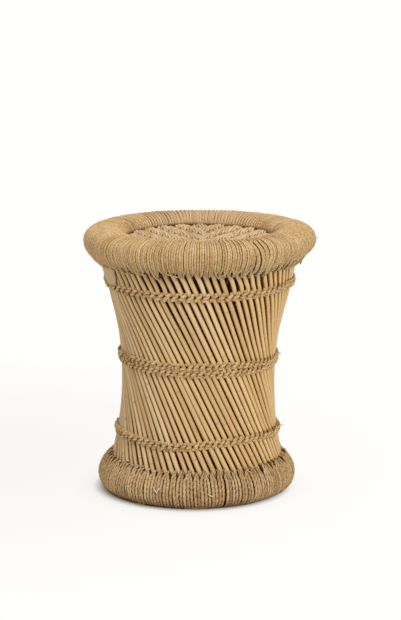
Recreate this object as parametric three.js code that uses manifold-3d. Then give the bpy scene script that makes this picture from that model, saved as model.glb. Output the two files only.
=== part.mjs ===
// Mudda stool: two rings wrapped in jute cord, joined by two layers of slanting reeds that lean
// opposite ways, twined together in bands, with a woven cord seat set into the top ring.
// Millimetres, +Z up. The origin is the middle of the footprint, on the floor.

import * as THREE from "three";
import { mergeVertices } from "three/addons/utils/BufferGeometryUtils.js";
import Module from "manifold-3d";

const wasm = await Module();
wasm.setup();

const TURN = 2 * Math.PI;
const DEGREE = Math.PI / 180;
const LEAST_ANGLE = 1e-9; // where the search for an angle ends

// The whole stool
const HEIGHT = 464;
const CLEARANCE = 0.3; // between pieces that touch
const OVERRUN = 5; // how far a cut runs past what it cuts

// Top ring, an egg in section: its widest line lies above the middle
const TOP_DIAMETER = 400;
const TOP_WIDTH = 71;
const TOP_DEPTH = 58;
const TOP_LIFT = 5;

// Base ring, the same with its widest line below the middle
const BASE_DIAMETER = 344;
const BASE_WIDTH = 64;
const BASE_DEPTH = 64;
const BASE_LIFT = 5;

// Reeds, tied in bundles
const OUTER_REED = 8.4;
const INNER_REED = 7.6;
const REED_GAP = 0.4; // between two reeds of a bundle at the waist
const BUNDLE_REEDS = 4;
const TWIST = 66 * DEGREE; // how far a reed turns about the axis from ring to ring
const SOCKET_DEPTH = 25; // how far a reed runs into its ring
const OUTER_REED_SIDES = 6;
const INNER_REED_SIDES = 5;
const TOP_REED_SHARE = 0.01; // outer layer outside the ring's middle line, of the ring's width
const BASE_REED_SHARE = 0.08;

// Ties: the short strand behind each bundle
const TIE_HEIGHT = 5;
const TIE_THICKNESS = 2;
const TIE_BITE = 1.2;

// Wraps: each loop is a flat skein of cord, narrow where it passes between two bundles
const CORD = 4;
const PASS_THICKNESS = 2;
const LEAST_PASS = 2.4; // narrowest that a skein is drawn between two bundles
const LOOP_GAP = 1.1;
const FOOT_SHARE = 0.1; // how deep the base wrap is worn flat, of the cord's thickness

// Twined bands
const ROW_HEIGHT = 12;
const ROW_THICKNESS = 5;
const BACK_ROW_THICKNESS = 4;
const UPPER_ROW_SHARE = 0.89; // heights, of the open height between the rings
const MIDDLE_ROW_SHARE = 0.5;
const LOWER_ROW_SHARE = 0.12;

// Seat
const SEAT_DROP = 21; // from the ring's crest to the edge of the seat
const SEAT_SAG = 3;
const SEAT_THICKNESS = 9;
const SEAT_FLAT_SHARE = 0.35; // of the seat's radius
const SEAT_STEPS = 2;
const EDGE_CORD = 5;
const EDGE_CORD_SIDES = 6;

// Flat splint between the upper band and the top ring
const SPLINT_WIDTH = 19;
const SPLINT_THICKNESS = 1.6;
const SPLINT_STEPS = 8; // facets round its lower end
const SPLINT_ANGLE = -158 * DEGREE;

// A loop's section: places across its width (-1 to 1) and heights above the core, of the cord
const SECTION_SHARES = [
  [-1, 0],
  [-1, 0.7],
  [-0.5, 1],
  [0, 0.78],
  [0.5, 1],
  [1, 0.7],
  [1, 0],
  [0, 0],
];
const SECTION_MIDDLE = SECTION_SHARES.length - 1; // the point under the middle of a loop

// A loop's steps on its way from the pass to the outside, over, down the inside and back to the pass
const QUARTER_STEPS = [3, 3, 3, 2];
const FAN_SHARE = 0.85; // how far the loop has fanned out one station away from the pass
const GAP_SAMPLES = 6; // points between two stations at which a loop's distance to the next is measured

// A twined row's section: places across its thickness and along its height
const ROW_SHARES = [
  [0, -0.5],
  [0.85, -0.3],
  [1, 0],
  [0.85, 0.3],
  [0, 0.5],
];

const cordColour = new THREE.MeshStandardMaterial({ color: 0xb9935f, roughness: 0.95, metalness: 0 });
const twineColour = new THREE.MeshStandardMaterial({ color: 0xa88456, roughness: 0.95, metalness: 0 });
const reedColour = new THREE.MeshStandardMaterial({ color: 0xd3b987, roughness: 0.6, metalness: 0 });
const coreColour = new THREE.MeshStandardMaterial({ color: 0x8a6b45, roughness: 0.9, metalness: 0 });

const stool = new THREE.Group();

function addPart(name, geometry, material) {
  geometry.computeVertexNormals();
  const mesh = new THREE.Mesh(geometry, material);
  mesh.name = name;
  stool.add(mesh);
  return mesh;
}

// A closed geometry as a solid for joining and cutting.
function solidOf(geometry) {
  const bare = geometry.clone();
  bare.deleteAttribute("normal");
  bare.deleteAttribute("uv");
  const merged = mergeVertices(bare);
  return new wasm.Manifold(
    new wasm.Mesh({
      numProp: 3,
      vertProperties: new Float32Array(merged.attributes.position.array),
      triVerts: new Uint32Array(merged.index.array),
    }),
  );
}

function geometryOf(solid) {
  const mesh = solid.getMesh();
  const geometry = new THREE.BufferGeometry();
  geometry.setAttribute("position", new THREE.BufferAttribute(mesh.vertProperties, 3));
  geometry.setIndex(new THREE.BufferAttribute(mesh.triVerts, 1));
  return geometry;
}

// A closed profile of {r, z} points turned about the axis, wound so that its faces point out.
function turned(profile, segments) {
  const area = profile.reduce((sum, point, i) => {
    const next = profile[(i + 1) % profile.length];
    return sum + point.r * next.z - next.r * point.z;
  }, 0);
  const ordered = area > 0 ? profile : [...profile].reverse();
  const points = [...ordered, ordered[0]].map((point) => new THREE.Vector2(point.r, point.z));
  return new THREE.LatheGeometry(points, segments).rotateX(Math.PI / 2);
}

// Rings of points joined into a closed body, wound so that its faces point out. Each end is closed
// by a fan of triangles from its point number capCentre.
function swept(rings, capCentre) {
  const count = rings[0].length;
  const points = rings.flat();
  const faces = [];
  for (let i = 0; i + 1 < rings.length; i++) {
    for (let j = 0; j < count; j++) {
      const a = i * count + j;
      const b = i * count + ((j + 1) % count);
      faces.push([a, b, b + count], [a, b + count, a + count]);
    }
  }
  const last = (rings.length - 1) * count;
  for (let j = 1; j + 1 < count; j++) {
    const b = (capCentre + j) % count;
    const c = (capCentre + j + 1) % count;
    faces.push([capCentre, c, b], [last + capCentre, last + b, last + c]);
  }
  const volume = faces.reduce((sum, [a, b, c]) => {
    const cross = new THREE.Vector3().crossVectors(points[b], points[c]);
    return sum + points[a].dot(cross);
  }, 0);
  const wound = volume > 0 ? faces : faces.map(([a, b, c]) => [a, c, b]);
  const geometry = new THREE.BufferGeometry().setFromPoints(points);
  geometry.setIndex(wound.flat());
  return geometry;
}

function polar(r, angle, z) {
  return new THREE.Vector3(r * Math.cos(angle), r * Math.sin(angle), z);
}

// A ring's section, as a function of the angle round it and the depth below its surface.
// facing is 1 on the base ring, whose reeds enter from above, and -1 on the top ring.
// The angle is -90 degrees where the reeds enter, 0 outside and 180 inside.
function ringSection(diameter, width, depth, lift, bottom, facing) {
  const centre = (diameter - width) / 2;
  const middle = bottom + depth / 2;
  function at(angle, inset) {
    const acrossNormal = (depth / 2) * Math.cos(angle) - lift * Math.sin(2 * angle);
    const upNormal = (width / 2) * Math.sin(angle);
    const length = Math.hypot(acrossNormal, upNormal);
    const up = (depth / 2) * Math.sin(angle) + lift * Math.cos(angle) ** 2 - (inset * upNormal) / length;
    return {
      r: centre + (width / 2) * Math.cos(angle) - (inset * acrossNormal) / length,
      z: middle - facing * up,
    };
  }
  // The angle, on the side where the reeds enter, at which the surface at this depth has radius r.
  function angleAt(r, inset) {
    let outside = 0;
    let inside = -Math.PI;
    while (outside - inside > LEAST_ANGLE) {
      const tried = (outside + inside) / 2;
      if (at(tried, inset).r > r) outside = tried;
      else inside = tried;
    }
    return outside;
  }
  return { centre, width, diameter, facing, at, angleAt };
}

const foot = CORD * FOOT_SHARE;
const topRing = ringSection(TOP_DIAMETER, TOP_WIDTH, TOP_DEPTH, TOP_LIFT, HEIGHT - TOP_DEPTH, -1);
const baseRing = ringSection(BASE_DIAMETER, BASE_WIDTH, BASE_DEPTH, BASE_LIFT, -foot, 1);

// A layer of reeds is a family of straight lines between two circles, turned by the twist.
// lean is the way it turns going down.
function reedLayer(reed, topRadius, baseRadius, topZ, baseZ, twist, lean) {
  const top = polar(topRadius, 0, topZ);
  const base = polar(baseRadius, lean * twist, baseZ);
  const along = top.clone().sub(base);
  const slope = Math.hypot(along.x, along.y) / along.z; // sideways run for each unit of height
  const waist = waistRadius(topRadius, baseRadius, twist);
  const waistZ = baseZ + Math.sqrt(baseRadius ** 2 - waist ** 2) / slope;
  const at = (z) => base.clone().addScaledVector(along, (z - baseZ) / along.z);
  const radius = (z) => Math.hypot(at(z).x, at(z).y);
  // How far a reed reaches each side of its middle line, measured away from the axis
  const reach = (z) => (reed / 2) * Math.hypot(1, (slope ** 2 * (z - waistZ)) / radius(z));
  const outerFace = (z) => radius(z) + reach(z) + CLEARANCE;
  const innerFace = (z) => radius(z) - reach(z) - CLEARANCE;
  return { reed, topRadius, baseRadius, topZ, baseZ, along, slope, waist, at, radius, outerFace, innerFace };
}

// The radius at which a straight line from circle to circle comes nearest the axis.
function waistRadius(topRadius, baseRadius, twist) {
  const run = Math.sqrt(topRadius ** 2 + baseRadius ** 2 - 2 * topRadius * baseRadius * Math.cos(twist));
  return (topRadius * baseRadius * Math.sin(twist)) / run;
}

// Where a skein crosses both layers at a ring: a straight line from the outside to the inside.
function passLine(ring, outerRadius, innerRadius) {
  const outerAngle = ring.angleAt(outerRadius + OUTER_REED / 2 + CLEARANCE, CORD / 2);
  const innerAngle = ring.angleAt(innerRadius - INNER_REED / 2 - CLEARANCE, CORD / 2);
  const from = ring.at(outerAngle, CORD / 2);
  const to = ring.at(innerAngle, CORD / 2);
  const heightAt = (r) => from.z + ((to.z - from.z) * (from.r - r)) / (from.r - to.r);
  return { outerAngle, innerAngle, heightAt };
}

// Both layers for a count of bundles: the twist is a whole number of half pitches, so that the
// spaces between the bundles of the two layers meet at both rings.
function layersFor(bundles) {
  const pitch = TURN / bundles;
  const twist = Math.round(TWIST / (pitch / 2)) * (pitch / 2);
  const topRadius = topRing.centre + topRing.width * TOP_REED_SHARE;
  const baseRadius = baseRing.centre + baseRing.width * BASE_REED_SHARE;
  const apart = (OUTER_REED + INNER_REED) / 2 + TIE_THICKNESS + 2 * CLEARANCE;
  const inward = 1 - apart / waistRadius(topRadius, baseRadius, twist);
  const topPass = passLine(topRing, topRadius, topRadius * inward);
  const basePass = passLine(baseRing, baseRadius, baseRadius * inward);
  const layer = (reed, share, lean) =>
    reedLayer(
      reed,
      topRadius * share,
      baseRadius * share,
      topPass.heightAt(topRadius * share),
      basePass.heightAt(baseRadius * share),
      twist,
      lean,
    );
  const outer = layer(OUTER_REED, 1, 1);
  const inner = layer(INNER_REED, inward, -1);
  const spacing = Math.max(
    ...[outer, inner].map(({ reed, slope, waist }) => ((reed + REED_GAP) * Math.hypot(1, slope)) / waist),
  );
  const between = pitch - (BUNDLE_REEDS - 1) * spacing; // angle across the space between bundles
  // Half the width left for the cord at one ring, where it crosses one layer
  const passHalf = ({ reed, slope, waist }, radius) =>
    radius * Math.sin(between / 2) -
    (reed / 2) * Math.hypot(1, slope) -
    ((slope * waist) / radius) * (PASS_THICKNESS / 2 + CLEARANCE) -
    CLEARANCE;
  topPass.half = Math.min(...[outer, inner].map((each) => passHalf(each, each.topRadius)));
  basePass.half = Math.min(...[outer, inner].map((each) => passHalf(each, each.baseRadius)));
  return { bundles, pitch, twist, outer, inner, spacing, topPass, basePass };
}

// The most bundles that leave room for the cord to pass between them.
let reeds = layersFor(Math.floor((TURN * topRing.centre) / (BUNDLE_REEDS * OUTER_REED)));
while (Math.min(reeds.topPass.half, reeds.basePass.half) < LEAST_PASS / 2) {
  reeds = layersFor(reeds.bundles - 1);
}
const { bundles, outer, inner, pitch } = reeds;
const SEGMENTS = 2 * bundles;
const chordShare = 1 - Math.cos(Math.PI / SEGMENTS); // how far a facet lies inside its circle

// The heights at which the reeds end, and the open height between the rings
const topEnd = Math.max(outer.topZ, inner.topZ) + SOCKET_DEPTH;
const baseEnd = Math.min(outer.baseZ, inner.baseZ) - SOCKET_DEPTH;
const openTop = topRing.at(-Math.PI / 2, 0).z;
const openBase = baseRing.at(-Math.PI / 2, 0).z;
const openAt = (share) => openBase + share * (openTop - openBase);

// One reed: a prism along its line, with an edge towards the axis and both ends cut level.
function reedGeometry(layer, angle, sides) {
  const along = layer.along.clone().normalize();
  const across = new THREE.Vector3(0, 0, 1).cross(along).normalize();
  const outward = along.clone().cross(across);
  const rings = [baseEnd, topEnd].map((z) => {
    const middle = layer.at(z);
    return Array.from({ length: sides }, (unused, i) => {
      const side = (TURN * i) / sides - Math.PI / 2;
      const point = middle
        .clone()
        .addScaledVector(across, (layer.reed / 2) * Math.cos(side))
        .addScaledVector(outward, (layer.reed / 2) * Math.sin(side));
      point.addScaledVector(along, (z - point.z) / along.z);
      return point;
    });
  });
  return swept(rings, 0).rotateZ(angle);
}

// The angle of reed i of bundle k where it enters the top ring
const reedAngle = (k, i) => (k + 0.5) * pitch + (i - (BUNDLE_REEDS - 1) / 2) * reeds.spacing;

// The tie of a bundle: a strand behind its reeds that bites into each of them.
function tieGeometry(layer, k, z) {
  const back = layer.innerFace(z) + CLEARANCE - TIE_THICKNESS;
  const front = back + TIE_THICKNESS + TIE_BITE;
  const turn = Math.atan2(layer.at(z).y, layer.at(z).x);
  const rings = Array.from({ length: BUNDLE_REEDS }, (unused, i) => {
    const angle = reedAngle(k, i) + turn;
    return [
      polar(back, angle, z - TIE_HEIGHT / 2),
      polar(front, angle, z - TIE_HEIGHT / 2),
      polar(front, angle, z + TIE_HEIGHT / 2),
      polar(back, angle, z + TIE_HEIGHT / 2),
    ];
  });
  return swept(rings, 0);
}

function addBundles(name, layer, tieZ, sides) {
  for (let k = 0; k < bundles; k++) {
    let bundle = solidOf(tieGeometry(layer, k, tieZ));
    for (let i = 0; i < BUNDLE_REEDS; i++) {
      bundle = bundle.add(solidOf(reedGeometry(layer, reedAngle(k, i), sides)));
    }
    addPart(`${name}_${String(k + 1).padStart(2, "0")}`, geometryOf(bundle), reedColour);
  }
}

// A wrap's stations: angles round the section, from the pass outward, round and back to it.
function loopStations(pass) {
  const corners = [pass.outerAngle, 0, Math.PI / 2, Math.PI, pass.innerAngle + TURN];
  const angles = [pass.outerAngle];
  QUARTER_STEPS.forEach((count, i) => {
    for (let step = 1; step <= count; step++) {
      angles.push(corners[i] + ((corners[i + 1] - corners[i]) * step) / count);
    }
  });
  return angles;
}

// The wrap of a ring: one unbroken skein that passes between each two bundles in turn.
function windingRings(ring, pass, firstAngle) {
  const angles = loopStations(pass);
  const fullHalf = pitch / 2 - LOOP_GAP / (2 * ring.centre - ring.width);
  const rings = [];
  for (let loop = 0; loop < bundles; loop++) {
    angles.forEach((angle, station) => {
      const fromPass = Math.min(station, angles.length - 1 - station);
      const fan = [0, FAN_SHARE][fromPass] ?? 1;
      const thickness = fan === 0 ? PASS_THICKNESS : CORD;
      const passAngle = pass.half / ring.at(angle, CORD / 2).r;
      const half = passAngle + (fullHalf - passAngle) * fan;
      const across = (angle - angles[0]) / (angles.at(-1) - angles[0]);
      const middle = firstAngle + (loop + across) * pitch;
      rings.push(
        SECTION_SHARES.map(([side, height]) => {
          const point = ring.at(angle, CORD / 2 - (height - 1 / 2) * thickness);
          return polar(point.r, middle + side * half, point.z);
        }),
      );
    });
  }
  return rings;
}

// The least distance between points on a wrap's edges that lie half a loop or more apart.
function leastGap(rings, perLoop) {
  const points = [];
  const edges = SECTION_SHARES.flatMap(([side], j) => (Math.abs(side) === 1 ? [j] : []));
  for (let i = 0; i + 1 < rings.length; i++) {
    for (let sample = 0; sample < GAP_SAMPLES; sample++) {
      const share = sample / GAP_SAMPLES;
      for (const j of edges) {
        const point = rings[i][j].clone().lerp(rings[i + 1][j], share);
        points.push({ place: i + share, point });
      }
    }
  }
  let least = Infinity;
  for (let a = 0; a < points.length; a++) {
    for (let b = a + 1; b < points.length; b++) {
      if (points[b].place - points[a].place < perLoop / 2) continue;
      least = Math.min(least, points[a].point.distanceToSquared(points[b].point));
    }
  }
  return Math.sqrt(least);
}

function wrapGeometry(name, ring, pass, firstAngle) {
  const rings = windingRings(ring, pass, firstAngle);
  const gap = leastGap(rings, rings.length / bundles);
  console.log(`${name}: ${bundles} loops, least gap to itself ${gap.toFixed(2)} mm`);
  return swept(rings, SECTION_MIDDLE);
}

// A ring's core, with a flared slot that takes the ends of both layers.
function coreGeometry(ring, pass, slotEnd) {
  const angles = loopStations(pass);
  const loopSpan = pitch / 2 + pitch / angles.length;
  const sag = (ring.diameter / 2) * (1 - Math.cos(loopSpan / 2)); // how far a loop's facets lie in
  const underPass = (angles[0] + angles.at(-1) - TURN) / 2;
  const body = [underPass, ...angles].map((angle) =>
    ring.at(angle, CORD + CLEARANCE + sag * Math.abs(Math.cos(angle))),
  );
  const mouth = ring.at(-Math.PI / 2, 0).z + ring.facing * OVERRUN;
  const roof = slotEnd - ring.facing * CLEARANCE;
  const slot = [
    { r: inner.innerFace(roof), z: roof },
    { r: outer.outerFace(roof) / (1 - chordShare), z: roof },
    { r: outer.outerFace(mouth) / (1 - chordShare), z: mouth },
    { r: inner.innerFace(mouth), z: mouth },
  ];
  return geometryOf(solidOf(turned(body, SEGMENTS)).subtract(solidOf(turned(slot, SEGMENTS))));
}

// A twined row's ring, lying on the outside of a layer and following its flare.
function frontRowGeometry(z) {
  const profile = ROW_SHARES.map(([across, up]) => {
    const height = z + up * ROW_HEIGHT;
    return { r: outer.outerFace(height) / (1 - chordShare) + across * ROW_THICKNESS, z: height };
  });
  return turned(profile, SEGMENTS);
}

// The back strands of a row, lying on the inside of the inner layer.
function backRowGeometry(z) {
  const profile = ROW_SHARES.map(([across, up]) => {
    const height = z + up * ROW_HEIGHT;
    return { r: inner.innerFace(height) - across * BACK_ROW_THICKNESS, z: height };
  });
  return turned(profile, SEGMENTS);
}

function seatGeometry(radius, edgeZ) {
  const flat = radius * SEAT_FLAT_SHARE;
  const top = Array.from({ length: SEAT_STEPS + 1 }, (unused, i) => {
    const share = i / SEAT_STEPS;
    return { r: flat + (radius - flat) * share, z: edgeZ - SEAT_SAG * (1 - share ** 2) };
  });
  const under = top.map(({ r, z }) => ({ r, z: z - SEAT_THICKNESS })).reverse();
  const middleTop = { r: 0, z: top[0].z };
  const middleUnder = { r: 0, z: top[0].z - SEAT_THICKNESS };
  return turned([middleTop, ...top, ...under, middleUnder], SEGMENTS);
}

function edgeCordGeometry(seatRadius, seatZ) {
  const middle = { r: seatRadius - EDGE_CORD / 2, z: seatZ + EDGE_CORD / 2 + CLEARANCE };
  const profile = Array.from({ length: EDGE_CORD_SIDES }, (unused, i) => ({
    r: middle.r + (EDGE_CORD / 2) * Math.cos((TURN * i) / EDGE_CORD_SIDES),
    z: middle.z + (EDGE_CORD / 2) * Math.sin((TURN * i) / EDGE_CORD_SIDES),
  }));
  return turned(profile, SEGMENTS);
}

// The splint: a flat strip with a round lower end, laid against the flare of the outer reeds.
function splintGeometry(lowZ, highZ) {
  const flare = outer.outerFace(highZ) - outer.outerFace(lowZ);
  const length = Math.hypot(highZ - lowZ, flare);
  const half = SPLINT_WIDTH / 2;
  const outline = new THREE.Shape();
  outline.moveTo(half, length);
  outline.lineTo(-half, length);
  outline.lineTo(-half, half);
  outline.absarc(0, half, half, Math.PI, TURN, false);
  const strip = new THREE.ExtrudeGeometry(outline, {
    depth: SPLINT_THICKNESS,
    bevelEnabled: false,
    curveSegments: SPLINT_STEPS,
  });
  return strip
    .rotateX(Math.PI / 2)
    .rotateZ(Math.PI / 2)
    .rotateY(Math.atan2(flare, highZ - lowZ))
    .translate(outer.outerFace(lowZ), 0, lowZ)
    .rotateZ(SPLINT_ANGLE);
}

// Reeds
const middleZ = openAt(MIDDLE_ROW_SHARE);
const middleRows = [middleZ + (ROW_HEIGHT + CLEARANCE) / 2, middleZ - (ROW_HEIGHT + CLEARANCE) / 2];
const upperZ = openAt(UPPER_ROW_SHARE);
const lowerZ = openAt(LOWER_ROW_SHARE);
addBundles("outer_reeds", outer, middleRows[0], OUTER_REED_SIDES);
addBundles("inner_reeds", inner, middleRows[1], INNER_REED_SIDES);

// Rings
const topWrap = wrapGeometry("top_ring_cord", topRing, reeds.topPass, 0);
const baseWrap = wrapGeometry("base_ring_cord", baseRing, reeds.basePass, reeds.twist);
const belowFloor = new THREE.BoxGeometry(BASE_DIAMETER + OVERRUN, BASE_DIAMETER + OVERRUN, OVERRUN);
belowFloor.translate(0, 0, -OVERRUN / 2);
addPart("top_ring_cord", topWrap, cordColour);
addPart("base_ring_cord", geometryOf(solidOf(baseWrap).subtract(solidOf(belowFloor))), cordColour);
addPart("top_ring_core", coreGeometry(topRing, reeds.topPass, topEnd), coreColour);
addPart("base_ring_core", coreGeometry(baseRing, reeds.basePass, baseEnd), coreColour);

// Twined bands
addPart("upper_band", frontRowGeometry(upperZ), twineColour);
addPart("middle_band_upper_row", frontRowGeometry(middleRows[0]), twineColour);
addPart("middle_band_lower_row", frontRowGeometry(middleRows[1]), twineColour);
addPart("lower_band", frontRowGeometry(lowerZ), twineColour);
addPart("upper_band_back", backRowGeometry(upperZ), twineColour);
addPart("middle_band_back", backRowGeometry(middleRows[0]), twineColour);
addPart("lower_band_back", backRowGeometry(lowerZ), twineColour);
addPart("flat_splint", splintGeometry(upperZ + ROW_HEIGHT / 2 + CLEARANCE, openTop - CLEARANCE), reedColour);

// Seat
const seatRadius = topRing.centre - TOP_WIDTH / 2 - CLEARANCE;
const seatZ = HEIGHT - SEAT_DROP;
addPart("seat_weave", seatGeometry(seatRadius, seatZ), cordColour);
addPart("seat_edge_cord", edgeCordGeometry(seatRadius, seatZ), cordColour);

export default stool;
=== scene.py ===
# Mudda stool: slanting reeds, jute wraps, twined bands and a woven seat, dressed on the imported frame.
# Metres, +Z up, -Y towards the viewer; lengths are written in millimetres times MM.

import math

import bpy
import numpy as np
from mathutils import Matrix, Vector

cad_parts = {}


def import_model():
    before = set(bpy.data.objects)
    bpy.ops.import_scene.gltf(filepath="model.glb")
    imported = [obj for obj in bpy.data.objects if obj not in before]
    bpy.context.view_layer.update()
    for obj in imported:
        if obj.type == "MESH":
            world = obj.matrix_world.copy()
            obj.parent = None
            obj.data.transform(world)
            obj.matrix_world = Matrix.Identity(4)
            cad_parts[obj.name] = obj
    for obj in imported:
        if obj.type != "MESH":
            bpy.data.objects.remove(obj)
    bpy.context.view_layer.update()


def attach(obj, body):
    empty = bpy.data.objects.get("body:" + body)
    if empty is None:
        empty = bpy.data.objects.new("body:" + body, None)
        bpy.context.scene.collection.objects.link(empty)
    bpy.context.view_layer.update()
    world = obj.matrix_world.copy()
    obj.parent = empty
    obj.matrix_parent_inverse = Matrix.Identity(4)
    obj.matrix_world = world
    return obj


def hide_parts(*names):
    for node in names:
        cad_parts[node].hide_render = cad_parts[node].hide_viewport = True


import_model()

MM = 0.001
TURN = 2 * math.pi
DEGREE = math.pi / 180
FRONT = -90 * DEGREE
UP = np.array([0.0, 0.0, 1.0])

# Rings: sections like an egg, their widest line lifted towards the reeds or away from them
TOP_DIAMETER = 400 * MM
TOP_WIDTH = 71 * MM
TOP_DEPTH = 58 * MM
TOP_LIFT = 5 * MM
BASE_DIAMETER = 344 * MM
BASE_WIDTH = 64 * MM
BASE_DEPTH = 64 * MM
BASE_LIFT = 5 * MM
HEIGHT = 464 * MM
FOOT = 0.4 * MM  # how deep the base ring is worn flat
OFF_FLOOR = 0.02 * MM  # the least height of a wrap

# Reeds: straight lines from circle to circle, four to each node of the frame
REEDS = 76
BUNDLES = 19
REED_LOW = 34 * MM
REED_HIGH = 437 * MM
TWIST = 66.316 * DEGREE

# Bow: outward at the upper band, a little at the whole waist, and none at the top ring, which holds the
# reeds. Each pair tells where a change starts and how far on it is full; below 0 it counts downwards.
BOW = 2.4 * MM
BOW_HEIGHT = 345 * MM
BOW_REACH = 38 * MM
WAIST_BOW = 0.5 * MM
WAIST_FROM = (130 * MM, 60 * MM)
BOW_TO = (420 * MM, -30 * MM)

# A reed's own bends: it is free between the rings, some lie loose below the top ring, some are kinked
FREE_FROM = (50 * MM, 30 * MM)
FREE_TO = (418 * MM, -30 * MM)
LOOSE_HEIGHT = 390 * MM
LOOSE_REACH = 12 * MM
KINK_FROM = (366 * MM, 36 * MM)
KINK_WIDTH = 5 * DEGREE

# The bands pinch the reeds at these heights
BAND_HEIGHTS = np.array([104.7, 228.6, 241, 368.3]) * MM
PINCH_REACH = 9 * MM

# The stool is a little out of true: its base to the left, its rim lower at the left, worn down in front
# and pressed up from below at the right
LEAN = -6.2 * MM
LEAN_HEIGHT = 420 * MM
TILT = 0.01
TILT_FROM = (375 * MM, 45 * MM)
WORN = 2.8 * MM
WORN_FRONT = (26 * MM, 130 * MM)
WORN_FROM = (436 * MM, 28 * MM)
PRESSED = 5 * MM
PRESSED_FROM = (385 * MM, 22 * MM)
PRESSED_TO = (446 * MM, -30 * MM)
PRESSED_RIGHT = (115 * MM, 60 * MM)


def smooth(x):
    """0 below 0, 1 above 1, and a smooth step between."""
    x = np.clip(x, 0, 1)
    return x * x * (3 - 2 * x)


def onset(x, start, reach):
    """0 up to start and 1 a reach further on. A reach below 0 counts downwards."""
    return smooth((x - start) / reach)


def bell(x, middle, width):
    return np.exp(-(((x - middle) / width) ** 2))


def wrapped(angle):
    """The same angle, between minus and plus half a turn."""
    return (angle + math.pi) % TURN - math.pi


def unit(v):
    return v / np.linalg.norm(v, axis=-1, keepdims=True)


def polar(r, angle, z):
    r, angle, z = np.broadcast_arrays(r, angle, z)
    return np.stack([r * np.cos(angle), r * np.sin(angle), z], axis=-1)


def waves(rng, shape, along, count, base=1.0):
    """Smooth noise of about unit size: a few sine waves along the last axis, new for each row."""
    total = np.zeros(shape)
    for n in range(1, count + 1):
        phase = rng.uniform(0, TURN, shape[:-1] + (1,))
        size = rng.normal(0, 1, shape[:-1] + (1,)) / math.sqrt(n)
        total = total + size * np.sin(TURN * base * n * along + phase)
    return total / math.sqrt(count)


def shared_waves(rng, round_it, along, count, least, most):
    """Smooth noise of about unit size over a whole ring, so that neighbours move together."""
    total = np.zeros(np.broadcast(round_it, along).shape)
    for _ in range(count):
        turns = rng.integers(least, most)
        size = rng.normal()
        wave = turns * round_it + rng.uniform(0.3, 2) * along + rng.uniform()
        total = total + size * np.sin(TURN * wave)
    return total / math.sqrt(count)


def leaned(points):
    """Points of the true stool, moved to where the worn one has them."""
    x, y, z = points.T
    near = np.clip(0.4 - y / TOP_DIAMETER, -0.3, 1)
    moved = points.copy()
    moved[:, 0] += LEAN * np.clip(1 - z / LEAN_HEIGHT, 0, 1) ** 1.3
    moved[:, 2] += TILT * x * near * onset(z, *TILT_FROM)
    moved[:, 2] -= WORN * onset(-y, *WORN_FRONT) * onset(z, *WORN_FROM)
    pressed = onset(z, *PRESSED_FROM) * onset(z, *PRESSED_TO)
    moved[:, 2] += PRESSED * pressed * onset(x, *PRESSED_RIGHT)
    return moved


# Mesh making

def skin(rows, steps, sides, closed=False):
    """The faces of tubes made of rings of points, and the caps of their ends."""
    index = np.arange(rows * steps * sides).reshape(rows, steps, sides)
    if closed:
        index = np.concatenate([index, index[:, :1]], axis=1)
    beside = np.roll(index, -1, axis=2)
    quads = np.stack([index[:, :-1], beside[:, :-1], beside[:, 1:], index[:, 1:]], axis=-1)
    caps = np.zeros((0, sides), int) if closed else np.concatenate([index[:, 0, ::-1], index[:, -1]])
    return quads.reshape(-1, 4), caps


def sweep(centres, outward, section, closed=False):
    """Tubes round rows of points. outward is the side that the section's second axis faces."""
    rows, steps = centres.shape[:2]
    across, up = axes(centres, outward, closed)
    section = np.broadcast_to(section, (rows, steps) + section.shape[-2:])
    points = (
        centres[:, :, None]
        + section[..., 0:1] * across[:, :, None]
        + section[..., 1:2] * up[:, :, None]
    )
    return (points.reshape(-1, 3), *skin(rows, steps, section.shape[-2], closed))


def axes(centres, outward, closed=False):
    """Two directions square to a row of points: sideways, and the one nearest outward."""
    if closed:
        tangent = np.roll(centres, -1, axis=1) - np.roll(centres, 1, axis=1)
    else:
        tangent = np.gradient(centres, axis=1)
    tangent = unit(tangent)
    across = unit(np.cross(outward, tangent))
    return across, np.cross(tangent, across)


def travel(centres):
    """The length along rows of points."""
    steps = np.linalg.norm(np.diff(centres, axis=1), axis=-1)
    return np.concatenate([np.zeros((len(centres), 1)), np.cumsum(steps, axis=1)], axis=1)


def round_section(sides, half_width, half_depth):
    """An oval for each step."""
    turn = np.arange(sides) * TURN / sides
    return np.stack([half_width[..., None] * np.cos(turn), half_depth[..., None] * np.sin(turn)], axis=-1)


def spread(values, sides):
    """One value for each step, given to every vertex of that step."""
    return np.repeat(values[..., None], sides, axis=-1)


def laid_cord(centres, outward, half_wide, half_deep, furrow, lay, tone, sides, closed=False):
    """A soft cord of two plies: one tube whose two furrows turn round it along its length.

    Half sizes and tone: one number or one for each step. furrow: a share of the half sizes. lay: the
    length of one turn.
    """
    along = travel(centres)
    half_wide, half_deep, tone = (np.broadcast_to(v, along.shape) for v in (half_wide, half_deep, tone))
    if closed:
        whole = along[:, -1:] + np.linalg.norm(centres[:, :1] - centres[:, -1:], axis=-1)
        lay = whole / np.round(whole / lay)
    place = np.arange(sides) * TURN / sides
    sunk = (1 - np.abs(np.cos(place))) ** 1.5
    turn = (TURN * along / lay)[..., None] + place
    reach = 1 - furrow * sunk
    section = np.stack([spread(half_wide, sides) * reach * np.cos(turn),
                        spread(half_deep, sides) * reach * np.sin(turn)], axis=-1)
    values = {
        # crevice_shade: where painted shade darkens the cord, deep in its furrows and on its side that
        # faces inward.
        "crevice_shade": np.clip(0.6 * sunk + 0.8 * smooth((0.7 - np.sin(turn)) / 1.3), 0, 1),
        "tone": spread(tone, sides),
        "along": spread(along, sides),
        "around": np.broadcast_to(place / TURN, turn.shape),
    }
    return (*sweep(centres, outward, section, closed), values)


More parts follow.
